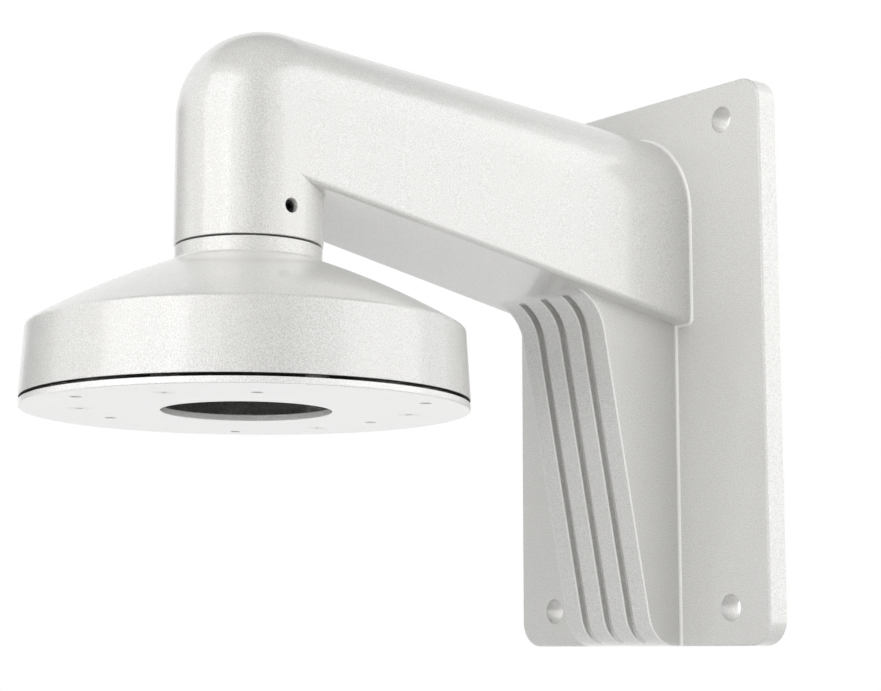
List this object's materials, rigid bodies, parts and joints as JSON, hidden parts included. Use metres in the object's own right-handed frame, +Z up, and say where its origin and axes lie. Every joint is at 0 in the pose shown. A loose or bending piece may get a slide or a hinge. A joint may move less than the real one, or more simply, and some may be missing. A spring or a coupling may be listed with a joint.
{
  "type": "pendant camera wall bracket",
  "caption": "Cast wall bracket with a hollow arm, grooved strut and threaded round cap that hangs a dome camera from its drilled mounting plate.",
  "frame": {"origin": "centre of the wall plate's rear face, which is also the centre of its four screw holes", "axes": "+Y into the wall, -Y out along the arm, +Z up, +X to the right seen from the front of the wall"},
  "size_m": [0.155, 0.2737, 0.2184],
  "materials": {
    "powder_coat": "fine textured off-white powder coat",
    "painted_screw": "off-white painted steel",
    "black_steel": "black oxide",
    "seal_rubber": "matt black rubber"
  },
  "bodies": {
    "root": {"bracket_body": "powder_coat", "pendant_cap": "powder_coat", "camera_plate": "powder_coat", "plate_screws": "painted_screw", "set_screw": "black_steel", "neck_seal": "seal_rubber"}
  },
  "joints": []
}
